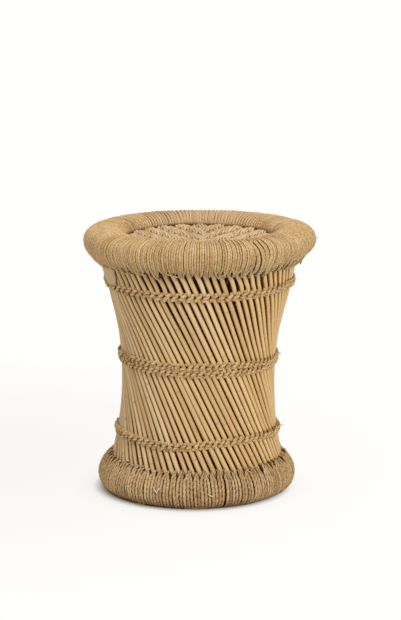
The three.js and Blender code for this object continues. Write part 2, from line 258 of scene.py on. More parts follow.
def add_piece(name, parts, material, nodes=()):
    """One mesh from several sweeps. Each part is (points, quads, caps, values by vertex)."""
    points = leaned(np.concatenate([part[0] for part in parts]))
    offsets = np.cumsum([0] + [len(part[0]) for part in parts[:-1]])
    faces = [part[n] + offset for n in (1, 2) for part, offset in zip(parts, offsets) if len(part[n])]
    corners = np.concatenate([face.ravel() for face in faces]).astype(np.int32)
    sizes = np.concatenate([np.full(len(face), face.shape[1]) for face in faces])
    starts = np.concatenate([[0], np.cumsum(sizes)[:-1]]).astype(np.int32)
    mesh = bpy.data.meshes.new(name)
    mesh.vertices.add(len(points))
    mesh.vertices.foreach_set("co", points.astype(np.float32).ravel())
    mesh.loops.add(len(corners))
    mesh.loops.foreach_set("vertex_index", corners)
    mesh.polygons.add(len(starts))
    mesh.polygons.foreach_set("loop_start", starts)
    mesh.update(calc_edges=True)
    mesh.validate()
    mesh.shade_smooth()
    for key in parts[0][3]:
        values = np.concatenate([np.ravel(part[3][key]) for part in parts]).astype(np.float32)
        mesh.attributes.new(key, "FLOAT", "POINT").data.foreach_set("value", values)
    mesh.materials.append(material)
    piece = bpy.data.objects.new(name, mesh)
    bpy.context.scene.collection.objects.link(piece)
    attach(piece, "root")
    if nodes:
        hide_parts(*nodes)


# Materials

class Shader:
    """Shader nodes written as nested calls. A socket takes a number, a colour or another socket."""

    def __init__(self, owner):
        self.owner = owner
        owner.use_nodes = True
        self.tree = owner.node_tree
        self.tree.nodes.clear()

    def node(self, kind, output=0, settings=(), **inputs):
        made = self.tree.nodes.new("ShaderNode" + kind)
        for key, value in dict(settings).items():
            setattr(made, key, value)
        for key, value in inputs.items():
            socket = made.inputs[int(key[1:])] if key[0] == "_" else made.inputs[key.replace("_", " ")]
            if isinstance(value, bpy.types.NodeSocket):
                self.tree.links.new(value, socket)
            else:
                socket.default_value = value
        return made.outputs[output]

    def close(self, shader, kind="OutputMaterial"):
        output = self.tree.nodes.new("ShaderNode" + kind)
        self.tree.links.new(shader, output.inputs[0])
        return self.owner

    def value(self, name):
        return self.node("Attribute", "Fac", {"attribute_name": name})

    def math(self, operation, a, b=0.0):
        return self.node("Math", 0, {"operation": operation}, _0=a, _1=b)

    def place(self):
        return self.node("TexCoord", "Object")

    def place_along(self, axis):
        return self.node("SeparateXYZ", axis, Vector=self.place())

    def near(self, spot):
        """The distance from a place on the stool."""
        return self.node("VectorMath", "Value", {"operation": "DISTANCE"}, _0=self.place(), _1=spot)

    def noise(self, at, scale, detail=3.0, roughness=0.6):
        return self.node("TexNoise", "Fac", Vector=at, Scale=scale, Detail=detail, Roughness=roughness)

    def grain(self, pairs, detail, roughness, scale=1.0):
        """Noise over up to three values, each given with its own scale. A length's scale is per metre."""
        scaled = [self.math("MULTIPLY", value, factor) for value, factor in pairs]
        at = self.node("CombineXYZ", **dict(zip("XYZ", scaled)))
        return self.noise(at, scale, detail, roughness)

    def fit(self, value, low, high, to_low, to_high):
        return self.node("MapRange", _0=value, _1=low, _2=high, _3=to_low, _4=to_high)

    def mix(self, share, a, b):
        return self.node("Mix", 2, {"data_type": "RGBA"}, _0=share, _6=a, _7=b)

    def tint(self, base, colour, most, value, none_at, most_at):
        """The base, turned to this colour by up to most as the value goes from none_at to most_at."""
        return self.mix(self.fit(value, none_at, most_at, 0.0, most), base, colour)

    def ramp(self, value, stops):
        made = self.tree.nodes.new("ShaderNodeValToRGB")
        ramp = made.color_ramp
        while len(ramp.elements) < len(stops):
            ramp.elements.new(1.0)
        for element, (position, colour) in zip(ramp.elements, stops):
            element.position = position
            element.color = colour
        self.tree.links.new(value, made.inputs[0])
        return made.outputs[0]

    def surface(self, colour, roughness, height, distance, strength, **constants):
        """A surface whose bumps follow height, as deep as distance."""
        bump = self.node("Bump", Strength=strength, Distance=distance, Height=height)
        return self.close(self.node(
            "BsdfPrincipled", Base_Color=colour, Roughness=roughness, Normal=bump, **constants
        ))


def picture_rgb(red, green, blue, shade=1.0):
    """A colour from 0 to 255, as a picture shows it, in the linear values that shaders take."""
    def linear(c):
        c *= shade / 255
        return c / 12.92 if c <= 0.04045 else ((c + 0.055) / 1.055) ** 2.4
    return (linear(red), linear(green), linear(blue), 1.0)


def reed_material(name, shade, warm=1.0):
    """Split reed: long grain, patches, small dark specks and a dark line at each joint, with painted light
    towards the stool's right and painted shade on each reed's flanks.

    shade: how light it is. warm: below 1 it has less green and blue.
    """
    def rgb(red, green, blue):
        return picture_rgb(red, green * warm, blue * warm ** 2, shade)

    s = Shader(bpy.data.materials.new(name))
    tone, hue, along, around = (s.value(key) for key in ("tone", "hue", "along", "around"))
    dark, middle, light = rgb(188, 153, 102), rgb(217, 187, 134), rgb(236, 212, 164)
    colour = s.ramp(tone, [(0.0, dark), (0.45, middle), (1.0, light)])
    colour = s.tint(colour, rgb(204, 188, 122), 0.4, hue, 0.66, 0.96)
    colour = s.tint(colour, rgb(212, 172, 134), 0.4, hue, 0.3, 0.04)
    grain = s.grain([(around, 7.0), (along, 9.0), (hue, 40.0)], 4.0, 0.65, 3.0)
    colour = s.tint(colour, rgb(150, 114, 66), 0.45, grain, 0.7, 0.35)
    patch = s.grain([(around, 1.5), (along, 22.0), (tone, 60.0)], 3.0, 0.6)
    colour = s.tint(colour, rgb(172, 130, 90), 0.5, patch, 0.55, 0.74)
    speck = s.grain([(around, 9.0), (along, 260.0), (tone, 1.0)], 2.0, 0.5)
    colour = s.tint(colour, rgb(120, 84, 48), 0.45, speck, 0.68, 0.78)
    colour = s.tint(colour, rgb(112, 78, 44), 0.45, s.value("joint"), 0.0, 1.0)
    # Painted light: the reeds turn warmer and lighter towards the stool's right.
    colour = s.tint(colour, rgb(236, 192, 118), 0.4, s.place_along(0), 0.0, 130 * MM)
    # Painted shade: each reed's flanks, which face the next reeds, are darkened where shade falls between
    # them.
    colour = s.tint(colour, rgb(112, 64, 4), 0.88, s.value("painted_flank_shade"), 0.06, 0.85)
    roughness = s.fit(grain, 0.3, 0.75, 0.36, 0.56)
    return s.surface(colour, roughness, grain, 0.25 * MM, 0.5, Specular_IOR_Level=0.45)


def jute_material(name, dark, middle, light, furrow=0.75, stain=None):
    """Rough twisted fibre: long dashes along each ply, finer hairs across it, tone by turn and by place.

    dark, middle, light: as a picture shows them. furrow: how far painted shade darkens the cord deep
    between the plies and on its inner side. stain: a place, its reach and its colour; a stained cord
    also turns paler towards the back of the stool.
    """
    dark, middle, light = (picture_rgb(*colour) for colour in (dark, middle, light))
    s = Shader(bpy.data.materials.new(name))
    tone, along, around = (s.value(key) for key in ("tone", "along", "around"))
    dash = s.grain([(along, 150.0), (around, 2.2), (tone, 70.0)], 3.0, 0.65)
    hair = s.grain([(along, 420.0), (around, 14.0), (tone, 90.0)], 4.0, 0.7)
    patch = s.noise(s.place(), 24.0)
    mixed = s.math("ADD", s.math("MULTIPLY", tone, 0.6), s.math("MULTIPLY", patch, 0.4))
    colour = s.ramp(mixed, [(0.2, dark), (0.5, middle), (0.8, light)])
    colour = s.tint(colour, dark, 0.75, dash, 0.5, 0.3)
    colour = s.tint(colour, light, 0.7, dash, 0.52, 0.7)
    colour = s.tint(colour, dark, 0.4, hair, 0.55, 0.3)
    if stain:
        spot, reach, stained = stain
        edge = s.math("ADD", s.near(spot), s.math("MULTIPLY", s.noise(s.place(), 70.0), 14 * MM))
        colour = s.tint(colour, stained, 0.5, edge, reach * 1.3, reach * 0.6)
        # A stained cord also turns paler towards the back of the stool.
        colour = s.tint(colour, PALER_AT_BACK, 0.42, s.place_along(1), 60 * MM, 150 * MM)
    # Painted shade deep between the plies and on each cord's inner side, where shade falls.
    colour = s.tint(colour, CREVICE_SHADE_COLOUR, furrow, s.value("crevice_shade"), 0.25, 0.95)
    roughness = s.fit(hair, 0.3, 0.7, 0.95, 0.8)
    return s.surface(colour, roughness, hair, 0.4 * MM, 0.7, Specular_IOR_Level=0.15)


def grass_material():
    """Dry grass in the dark inside the wraps."""
    s = Shader(bpy.data.materials.new("ring_grass"))
    straw = s.grain([(s.value("along"), 40.0), (s.value("tone"), 90.0)], 4.0, 0.7)
    dark, middle, light = picture_rgb(74, 52, 28), picture_rgb(124, 92, 54), picture_rgb(150, 116, 70)
    colour = s.ramp(straw, [(0.3, dark), (0.6, middle), (0.8, light)])
    roughness = s.fit(straw, 0.3, 0.7, 0.9, 0.75)
    return s.surface(colour, roughness, straw, 0.5 * MM, 0.7, Specular_IOR_Level=0.2)


# The colour of the painted shade in the cords' furrows and on their inner sides.
CREVICE_SHADE_COLOUR = picture_rgb(92, 56, 16)
PALER_AT_BACK = picture_rgb(224, 196, 160)
STAIN = ((130 * MM, -4 * MM, 450 * MM), 30 * MM, picture_rgb(166, 144, 126))
OUTER_STRAW = reed_material("outer_straw", 1.035, 0.985)
# Painted shade: the inner reeds are the same straw as the outer ones, made darker and browner for the shade
# inside the stool.
INNER_STRAW_SHADED = reed_material("inner_straw_painted_shade", 0.47, 0.72)
SPLINT_STRAW = reed_material("splint_straw", 0.94, 1.02)
TOP_JUTE = jute_material("top_jute", (166, 128, 80), (212, 177, 126), (234, 206, 162), 0.46, STAIN)
BASE_JUTE = jute_material("base_jute", (136, 103, 64), (207, 171, 122), (233, 203, 158), 0.74)
BAND_JUTE = jute_material("band_jute", (134, 98, 58), (216, 179, 125), (243, 212, 165), 0.88)
SEAT_JUTE = jute_material("seat_jute", (166, 132, 90), (228, 195, 150), (246, 221, 182), 0.62)
CROSS_JUTE = jute_material("cross_jute", (128, 96, 62), (200, 166, 122), (224, 194, 152), 0.7)
GREEN_JUTE = jute_material("green_jute", (84, 82, 58), (132, 128, 98), (170, 164, 132), 0.6)
# Painted shade: a dark jute for the border rope, standing for the shadow line between the rim's wrap and
# the seat.
BORDER_JUTE_SHADED = jute_material("border_jute_painted_shade", (96, 68, 38), (152, 118, 78), (190, 156, 112), 0.85)
PALE_JUTE = jute_material("pale_jute", (176, 158, 128), (234, 221, 194), (252, 245, 226))
LOOSE_JUTE = jute_material("loose_jute", (120, 96, 64), (176, 150, 108), (222, 198, 150))
GRASS = grass_material()


# Rings and the lines of the reeds

class Ring:
    """A ring's section by angle: -90 degrees where the reeds enter, 0 outside, 180 inside."""

    def __init__(self, diameter, width, depth, lift, bottom, facing):
        self.centre = (diameter - width) / 2
        self.width = width
        self.depth = depth
        self.lift = lift
        self.middle = bottom + depth / 2
        self.facing = facing

    def at(self, angle, inset):
        """Radius and height, and the way out of the surface, at a depth below it."""
        across = self.depth / 2 * np.cos(angle) - self.lift * np.sin(2 * angle)
        up = self.width / 2 * np.sin(angle)
        length = np.hypot(across, up)
        across, up = across / length, up / length
        height = self.depth / 2 * np.sin(angle) + self.lift * np.cos(angle) ** 2 - inset * up
        r = self.centre + self.width / 2 * np.cos(angle) - inset * across
        return r, self.middle - self.facing * height, across, -self.facing * up


class Layer:
    """Straight lines between two circles. lean is the way that they turn going down."""

    def __init__(self, top_radius, base_radius, top_z, base_z, lean):
        self.top = polar(top_radius, 0, top_z)
        self.base = polar(base_radius, lean * TWIST, base_z)

    def at(self, z):
        """The line's point at this height, bowed."""
        z = np.asarray(z)
        share = (z - self.base[2]) / (self.top[2] - self.base[2])
        point = self.base + share[..., None] * (self.top - self.base)
        bow = BOW * bell(z, BOW_HEIGHT, BOW_REACH) + WAIST_BOW * onset(z, *WAIST_FROM)
        out = unit(point * np.array([1.0, 1.0, 0.0]))
        return point + (bow * onset(z, *BOW_TO))[..., None] * out

    def radius(self, z):
        return np.hypot(self.at(z)[..., 0], self.at(z)[..., 1])

    def turn(self, z):
        """How far a reed has turned at this height, from its place at the top ring."""
        return np.arctan2(self.at(z)[..., 1], self.at(z)[..., 0])


TOP_RING = Ring(TOP_DIAMETER, TOP_WIDTH, TOP_DEPTH, TOP_LIFT, HEIGHT - TOP_DEPTH, -1)
BASE_RING = Ring(BASE_DIAMETER, BASE_WIDTH, BASE_DEPTH, BASE_LIFT, -FOOT, 1)
TOP_MEETS = (-1.41377, -2.10436)  # the section's angles where a turn meets the reeds, outside and inside
BASE_MEETS = (-1.23859, -1.94996)
OUTER = Layer(165.21 * MM, 145.12 * MM, 409.38 * MM, 59.36 * MM, 1)
INNER = Layer(151.61 * MM, 133.17 * MM, 412.18 * MM, 58.99 * MM, -1)


# Reeds

# Where the reeds meet the top ring. The middles of the spaces are half a step further on.
REED_ANGLES = (np.arange(REEDS) + 0.5) * TURN / REEDS


def reed_lines(rng, layer, bend, kinked):
    """Heights and joints of all reeds of a layer, their centre lines and the way out of them.

    bend: how far a reed strays. kinked: angles at the top, in degrees from +X, near which the reeds
    bend further between the upper band and the ring, and how far.
    """
    joints = rng.uniform(60 * MM, 620 * MM, (REEDS, 2))  # one above REED_HIGH isn't there
    near_joint = joints[:, :, None] + np.array([-5, -1.6, -0.6, 0, 0.6, 1.6, 5]) * MM
    even = np.broadcast_to(np.linspace(REED_LOW, REED_HIGH, 46), (REEDS, 46))
    z = np.concatenate([even, near_joint.reshape(REEDS, -1)], axis=1)
    z = np.sort(np.clip(z, REED_LOW, REED_HIGH), axis=1)
    z += np.linspace(0, 1, z.shape[1]) * 0.01 * MM  # no two at one height
    share = (z - REED_LOW) / (REED_HIGH - REED_LOW)

    line = layer.at(z)
    spin = REED_ANGLES[:, None]
    x = line[..., 0] * np.cos(spin) - line[..., 1] * np.sin(spin)
    y = line[..., 0] * np.sin(spin) + line[..., 1] * np.cos(spin)
    outward = unit(np.stack([x, y, np.zeros_like(x)], axis=-1))

    free = onset(z, *FREE_TO) * onset(z, *FREE_FROM)
    sway = bend * waves(rng, z.shape, share, 3, 0.7) + rng.normal(0, 1, (REEDS, 1)) * 0.5 * bend
    loose = rng.normal(0, 1, (REEDS, 1)) * 0.6 * MM * bell(z, LOOSE_HEIGHT, LOOSE_REACH)
    for angle, size in kinked:
        near = bell(wrapped(REED_ANGLES - angle * DEGREE), 0, KINK_WIDTH)[:, None]
        loose = loose + near * size * np.sin(math.pi * onset(z, *KINK_FROM))
    centres = np.stack([x, y, z], axis=-1) + np.cross(UP, outward) * ((sway + loose) * free)[..., None]
    centres = centres + outward * (0.25 * MM * waves(rng, z.shape, share, 3, 0.8))[..., None]
    return z, joints, centres, outward


def reed_sizes(rng, z, joints):
    """How much of its size a reed has at each place, and how near that is to a joint."""
    share = (z - REED_LOW) / (REED_HIGH - REED_LOW)
    taper = rng.normal(0, 0.03, (REEDS, 1)) * (share - 0.5) * 2
    size = 1 + rng.normal(0, 0.035, (REEDS, 1)) + taper + 0.008 * waves(rng, z.shape, share, 5, 1.7)
    at_joint = bell(z[..., None], joints[:, None], 1.0 * MM).sum(axis=-1)
    by_joint = bell(z[..., None], joints[:, None], 4.5 * MM).sum(axis=-1)
    pinch = bell(z[..., None], BAND_HEIGHTS, PINCH_REACH).sum(axis=-1)
    return size * (1 + 0.045 * by_joint - 0.03 * at_joint) * (1 - 0.05 * pinch), at_joint


def reeds(name, node, layer, width, depth, material, seed, bend, kinked=()):
    """All reeds of a layer, one piece for each bundle of the frame."""
    rng = np.random.default_rng(seed)
    sides = 12
    z, joints, centres, outward = reed_lines(rng, layer, bend, kinked)
    size, at_joint = reed_sizes(rng, z, joints)
    points, _, _ = sweep(centres, outward, round_section(sides, size * width / 2, size * depth / 2))
    ridge = rng.normal(0, 1, (REEDS, 1, sides))
    ridge = (ridge + np.roll(ridge, 1, axis=2)) * 0.05 * MM
    full = (*z.shape, sides)
    points = points.reshape(*full, 3)
    points = points + unit(points - centres[:, :, None]) * ridge[..., None]

    place = np.arange(sides) / sides
    values = {
        "tone": np.broadcast_to(np.clip(rng.normal(0.5, 0.24, (REEDS, 1, 1)), 0, 1), full),
        "hue": np.broadcast_to(rng.uniform(0, 1, (REEDS, 1, 1)), full),
        "along": spread(z, sides),
        "around": np.broadcast_to(np.abs(place - 0.5) * 2, full),
        "joint": spread(np.clip(at_joint, 0, 1), sides),
        # painted_flank_shade: 1 on the flanks that face the next reeds, where the painted shade is
        # strongest.
        "painted_flank_shade": np.broadcast_to((1 - np.abs(np.sin(place * TURN))) ** 2, full),
    }
    each = REEDS // BUNDLES
    faces = skin(each, full[1], sides)
    for k in range(BUNDLES):
        chosen = slice(k * each, (k + 1) * each)
        part = (points[chosen].reshape(-1, 3), *faces, {key: v[chosen] for key, v in values.items()})
        add_piece(f"{name}_{k + 1:02d}", [part], material, [f"{node}_{k + 1:02d}"])


def flat_splint():
    """A wide flat strip of reed with a round lower end, held between the upper band and the ring.

    It stands off the reeds, more at its left edge and at its top.
    """
    width, thickness, crown = 27 * MM, 1.4 * MM, 1.2 * MM
    low, high, round_share = 372 * MM, 411 * MM, 0.36
    place, off, slant = FRONT - 64 * DEGREE, 7 * MM, 9 * MM
    v = np.linspace(0, 1, 15)[:, None]
    u = np.linspace(-1, 1, 11)[None]
    rounding = np.sqrt(np.clip(1 - (1 - np.minimum(v / round_share, 1)) ** 2, 0.02, 1))
    z = low + v * (high - low)
    angle = place + u * rounding * width / 2 / OUTER.radius(z)
    r = OUTER.radius(z) + off + slant * (0.5 - u / 2) * (0.6 + 0.4 * v) + crown * (1 - u ** 2)
    loop = np.concatenate([polar(r, angle, z), polar(r - thickness, angle, z)[:, ::-1]], axis=1)
    full = loop.shape[:2]
    values = {
        "tone": np.full(full, 0.45),
        "hue": np.full(full, 0.66),
        "along": np.broadcast_to(z, full),
        "around": np.broadcast_to(np.concatenate([u, u[:, ::-1]], axis=1), full),
        "joint": np.zeros(full),
        "painted_flank_shade": np.zeros(full),
    }
    part = (loop.reshape(-1, 3), *skin(1, *full), values)
    add_piece("wide_splint", [part], SPLINT_STRAW, ["flat_splint"])


# Rings' wraps and cores

SEAM_FOLLOWS = 14 * MM  # how far from a seam the turns lie along it
SEAM_PUSHES = 12 * MM
SEAM_FADE = 0.06  # the share of a turn over which a seam opens


def loop_path(ring, inset, meets, steps, pass_steps):
    """One turn of a cord in section: round the ring from the reeds outward, then straight across them.

    Returns radius, height, the way out, and the length travelled round the ring.
    """
    fine = np.linspace(meets[0], meets[1] + TURN, 2000)
    r, z, _, _ = ring.at(fine, inset)
    length = np.concatenate([[0], np.cumsum(np.hypot(np.diff(r), np.diff(z)))])
    travelled = np.linspace(0, length[-1], steps)
    r, z, across, up = ring.at(np.interp(travelled, length, fine), inset)
    share = np.linspace(0, 1, pass_steps + 2)[1:-1]
    r, z, across = (np.concatenate([v, v[-1] + (v[0] - v[-1]) * share]) for v in (r, z, across))
    up = np.concatenate([up, np.full(pass_steps, (up[0] + up[-1]) / 2)])
    return r, z, across, up, np.concatenate([travelled, np.full(pass_steps, length[-1])])


def opened(angle, r, share, seams):
    """The turns' angles, pushed apart at the seams. share is how far each step is along its turn."""
    for seam_low, seam_high, start, end, gap in seams:
        line = (seam_low + (seam_high - seam_low) * onset(share, start, end - start)) * DEGREE
        away = wrapped(angle - line) * r
        window = smooth((share - start) / SEAM_FADE + 0.5) * smooth((end - share) / SEAM_FADE + 0.5)
        held = np.median(away[:, (share > start) & (share < end)], axis=1)[:, None]
        beside = bell(held, 0, SEAM_FOLLOWS) * (held - away)
        apart = gap / 2 * np.sign(held) * np.exp(-np.abs(held) / SEAM_PUSHES)
        angle = angle + window * (beside + apart) / r
    return angle


def wrap(name, ring, node, material, pieces, seed, *, turns, meets, base_turn, wide, deep, drawn_wide,
         inset, lay, fan, squeeze, rows, uneven, seams):
    """A cord wound round a ring and drawn together where it passes between two reeds.

    meets: the section's angles where a turn meets the reeds, outside and inside. base_turn: where the
    first turn starts. wide, deep: the cord where it lies free. drawn_wide: its width between the
    reeds. inset: how deep its middle lies under the ring's outline. lay: length of one twist of its
    plies. fan: how far from the reeds the turns draw together. squeeze: half the distance between the
    two stacks of turns in one space. rows: height of one layer of a stack. uneven: how much the turns
    wander. seams: gaps between turns, each (angle from +X in degrees at its lower and upper end, the
    shares of a turn where it starts and ends, width).
    Returns places on the cord, the way out of it and the way along it, for loose fibres.
    """
    rng = np.random.default_rng(seed)
    steps, pass_steps, sides = 136, 4, 10
    r, z, across, up, travelled = loop_path(ring, inset, meets, steps, pass_steps)
    u = np.arange(len(r)) / len(r)
    step_angle = TURN / turns
    even = (np.arange(turns)[:, None] + u) * step_angle + base_turn

    # Both ends of a turn go to the nearest space between reeds, to one side of it, stacked there
    place = np.arange(turns + 1) * REEDS / turns
    space = np.round(place)
    side = np.where(place < space, -1.0, 1.0) * (1 + rng.normal(0, 0.25, turns + 1))
    low = rng.normal(0.3, 0.6, REEDS + 1)[space.astype(int)]
    below = np.where(np.abs(place - space) > 0.25, 1.0, 0.0) + low + rng.normal(0, 0.25, turns + 1)
    meet = space * TURN / REEDS + base_turn
    reach = fan * rng.uniform(0.75, 1.3, (turns, 1))
    near_outer = smooth(1 - travelled / reach)
    near_inner = smooth(1 - (travelled[-1] - travelled) / reach)
    drawn = near_outer + near_inner
    free = 1 - drawn

    def at_ends(values):
        return near_outer * values[:-1, None] + near_inner * values[1:, None]

    # Between its ends the turn wanders sideways, swells and, where turns are crowded, lies high or low
    round_it = np.arange(turns)[:, None] / turns
    drift = shared_waves(rng, round_it, u, 9, 3, turns // 14)
    ripple = waves(rng, even.shape, u, 6)
    stray = (rng.uniform(0, 1, (turns, 1)) < 0.05) * waves(rng, even.shape, u, 2)
    jitter = rng.normal(0, 1, (turns, 1))
    lateral = uneven * (0.4 * MM * drift + 0.22 * MM * jitter + 0.3 * MM * ripple + 0.9 * MM * stray) * free
    swell = 0.2 * MM * shared_waves(rng, round_it, u, 9, 3, turns // 10)
    bumpy = 0.16 * MM * waves(rng, even.shape, u, 6, 1.5) + 0.15 * MM * rng.normal(0, 1, (turns, 1))
    raised = uneven * (swell + bumpy + 0.7 * MM * np.abs(stray)) * free
    pitch = r * step_angle
    crowded = np.sqrt(np.maximum(wide ** 2 - pitch ** 2, 0)) * 0.25 * free
    parity = np.where(np.arange(turns) % 2 == 0, 1.0, -1.0)[:, None]
    lift = raised + parity * crowded + rows * at_ends(below)
    angle = free * even + at_ends(meet) + (lateral + squeeze * at_ends(side)) / r
    angle = opened(angle, r, travelled / travelled[-1], seams)

    centres = polar(r + lift * across, angle, z + lift * up).reshape(1, -1, 3)
    outward = polar(across, angle, up).reshape(1, -1, 3)
    size = (1 + 0.05 * waves(rng, angle.shape, u, 9, 2.5)) * (1 + rng.normal(0, 0.05, (turns, 1)))
    half_wide = size * (free * np.clip(pitch * 1.05, 0.8 * wide, wide) + drawn * drawn_wide) / 2
    half_deep = size * deep / 2 * (1 - 0.15 * drawn)
    tone = 0.5 + 0.1 * rng.normal(0, 1, (turns, 1)) + 0.07 * waves(rng, angle.shape, u, 4)
    # Painted light: the turns drawn together at the reeds are made lighter, against the painted shade in
    # the slits between them.
    tone = np.clip(tone + 0.05 * shared_waves(rng, round_it, u, 9, 3, turns // 8) + 0.14 * drawn, 0, 1)
    half_wide, half_deep, tone, drawn = (v.reshape(1, -1) for v in (half_wide, half_deep, tone, drawn))
    points, _, _, values = laid_cord(centres, outward, half_wide, half_deep, 0.24, lay, tone, sides)
    # Painted shade: the crevice shade grows in the slits between the turns drawn together at the reeds.
    values["crevice_shade"] = np.clip(values["crevice_shade"] * (1 + 1.3 * spread(drawn, sides)), 0, 1)
    points[:, 2] = np.maximum(points[:, 2], OFF_FLOOR)

    # The cord's mesh is cut into pieces that meet end to end
    count = centres.shape[1]
    points = points.reshape(count, sides, 3)
    for piece in range(pieces):
        first = piece * count // pieces
        last = min((piece + 1) * count // pieces + 1, count)
        chosen = {key: v.reshape(count, sides)[first:last] for key, v in values.items()}
        part = (points[first:last].reshape(-1, 3), *skin(1, last - first, sides), chosen)
        add_piece(f"{name}_{piece + 1}", [part], material, [node])
    sideways, _ = axes(centres, outward)
    return centres[0], outward[0], np.cross(sideways[0], outward[0])


def core(name, ring, node, straws, straw, inset, meets, seed):
    """The bundle of straws that the cord is wound on, with the reeds' ends among them."""
    rng = np.random.default_rng(seed)
    steps, sides = 3 * REEDS, 6
    angle = np.arange(steps)[None] * TURN / steps
    start = np.linspace(meets[0] + 0.12, meets[1] + TURN - 0.12, straws)[:, None]
    section = start + 0.03 * waves(rng, (straws, steps), angle / TURN, 6)
    depth = inset + 0.8 * MM * np.abs(waves(rng, (straws, steps), angle / TURN, 9))
    r, z, across, up = ring.at(section, depth)
    centres = polar(r, angle, z)
    half = straw / 2 * (1 + rng.normal(0, 0.12, (straws, 1))) * np.ones((1, steps))
    values = {
        "tone": np.broadcast_to(rng.uniform(0, 1, (straws, 1, 1)), (straws, steps, sides)),
        "along": spread(travel(centres), sides),
    }
    tubes = sweep(centres, polar(across, angle, up), round_section(sides, half, half), True)
    add_piece(name, [(*tubes, values)], GRASS, [node])


# Twined bands

TWINE_STEPS = 16  # from reed to reed
TWINE_BEHIND = 4.4 * MM  # from a reed's middle to the strand behind it
TWINE_BEFORE = 4.1 * MM
TWINE_WANDER = 1.2 * MM
THICK_STRAND = (7.8 * MM, 5.2 * MM)  # its width, and how far it rises and falls between the reeds
THIN_STRAND = (6.8 * MM, 4.4 * MM)


def twined_row(name, layer, height, facing, node, seed, size=THICK_STRAND):
    """Two strands that pass in front of every second reed in turn, and cross between the reeds.

    height gives the row's middle by its angle from the front. facing is 1 for a row round the outer
    reeds and -1 for one round the inner reeds, seen from inside.
    Returns places on a strand, the way out of it and a way to lie, for loose fibres.
    """
    rng = np.random.default_rng(seed)
    strand, rise = size
    s = np.arange(REEDS * TWINE_STEPS) / TWINE_STEPS
    z = 240 * MM
    for _ in range(3):
        angle = (s + 0.5) * TURN / REEDS + layer.turn(z)
        z = height(angle - FRONT)
    r = layer.radius(z)
    reed = np.floor(s + 0.5)
    at_reed = reed.astype(int) % REEDS
    wobble = TWINE_WANDER * rng.normal(0, 1, REEDS)[at_reed] * np.cos(math.pi * (s - reed)) ** 2
    outward = polar(facing, angle, 0.0)[None]

    def noise(count):
        return waves(rng, (1, len(s)), s / REEDS, count)

    lines = []
    parts = []
    for sign in (1, -1):
        swing = np.sin(math.pi / 2 * np.cos(math.pi * s)) * sign
        front = TWINE_BEFORE + strand * (0.36 + 0.05 * rng.normal(0, 1, REEDS)[at_reed])
        out = swing * np.where(swing > 0, front, TWINE_BEHIND) * facing
        up = sign * rise * np.sin(math.pi * s) * (1 + 0.2 * noise(38))
        drift = 0.7 * MM * noise(24)
        half = strand / 2 * (0.7 + 0.3 * smooth(swing + 0.4)) * (1 + 0.2 * noise(40))
        lines.append(polar(r + out, angle + 0.4 * MM * noise(40) / r, z + up + drift + wobble))
        tone = np.clip(0.5 + 0.22 * noise(40), 0, 1)
        parts.append(laid_cord(lines[-1], outward, half, 0.85 * half, 0.3, 15 * MM, tone, 12, True))
    add_piece(name, parts, BAND_JUTE, [node])
    return lines[0][0], outward[0], np.broadcast_to(UP, outward[0].shape)


def row_height(middle, left, right, crests, shift):
    """A wavering row's height by its angle from the front. left, right: how much higher its sides are."""
    def height(front):
        side = np.sin(front)
        higher = side ** 2 * np.where(side < 0, left, right)
        return (middle + higher + 1.2 * np.sin(crests * front + shift)) * MM
    return height


def lower_height(front):
    """The lower row's: it sags left of the front and rises right of it."""
    left = bell(wrapped(front), -20 * DEGREE, 25 * DEGREE)
    right = bell(wrapped(front), 32 * DEGREE, 22 * DEGREE)
    return (108 - 5.5 * left + 3.5 * right) * MM


upper_height = row_height(364.5, 8, 8, 3, 1)
middle_upper_height = row_height(242, 1.5, -4, 4, 0)
middle_lower_height = row_height(227.5, 8, 4, 3, 2)


def knots(name, spots, seed):
    """Strands tied off: a tight trefoil at each (degrees from the front, height and size in mm)."""
    rng = np.random.default_rng(seed)
    t = np.arange(72)[None] * TURN / 72
    trefoil = [np.sin(t) + 2 * np.sin(2 * t), np.cos(t) - 2 * np.cos(2 * t), -0.9 * np.sin(3 * t)]
    half = 1.6 * MM
    parts = []
    for front, height, size in np.array(spots) * np.array([DEGREE, MM, MM]):
        turn = rng.uniform(0, TURN)
        wide, tall, deep = (v * size * share for v, share in zip(trefoil, (0.26, 0.34, 0.3)))
        aside = (wide * math.cos(turn) - tall * math.sin(turn))[..., None]
        above = (wide * math.sin(turn) + tall * math.cos(turn))[..., None]
        out = polar(1.0, FRONT + front, 0.0)
        middle = out * (OUTER.radius(height) + 4 * MM + size * 0.3) + UP * height
        centre = middle + aside * np.cross(UP, out) + above * UP + deep[..., None] * out
        tone = rng.uniform(0.2, 0.6)
        parts.append(laid_cord(centre, out + 0.3 * UP, half, half, 0.4, 9 * MM, tone, 8, True))
    add_piece(name, parts, LOOSE_JUTE)


# Loose fibres and strands

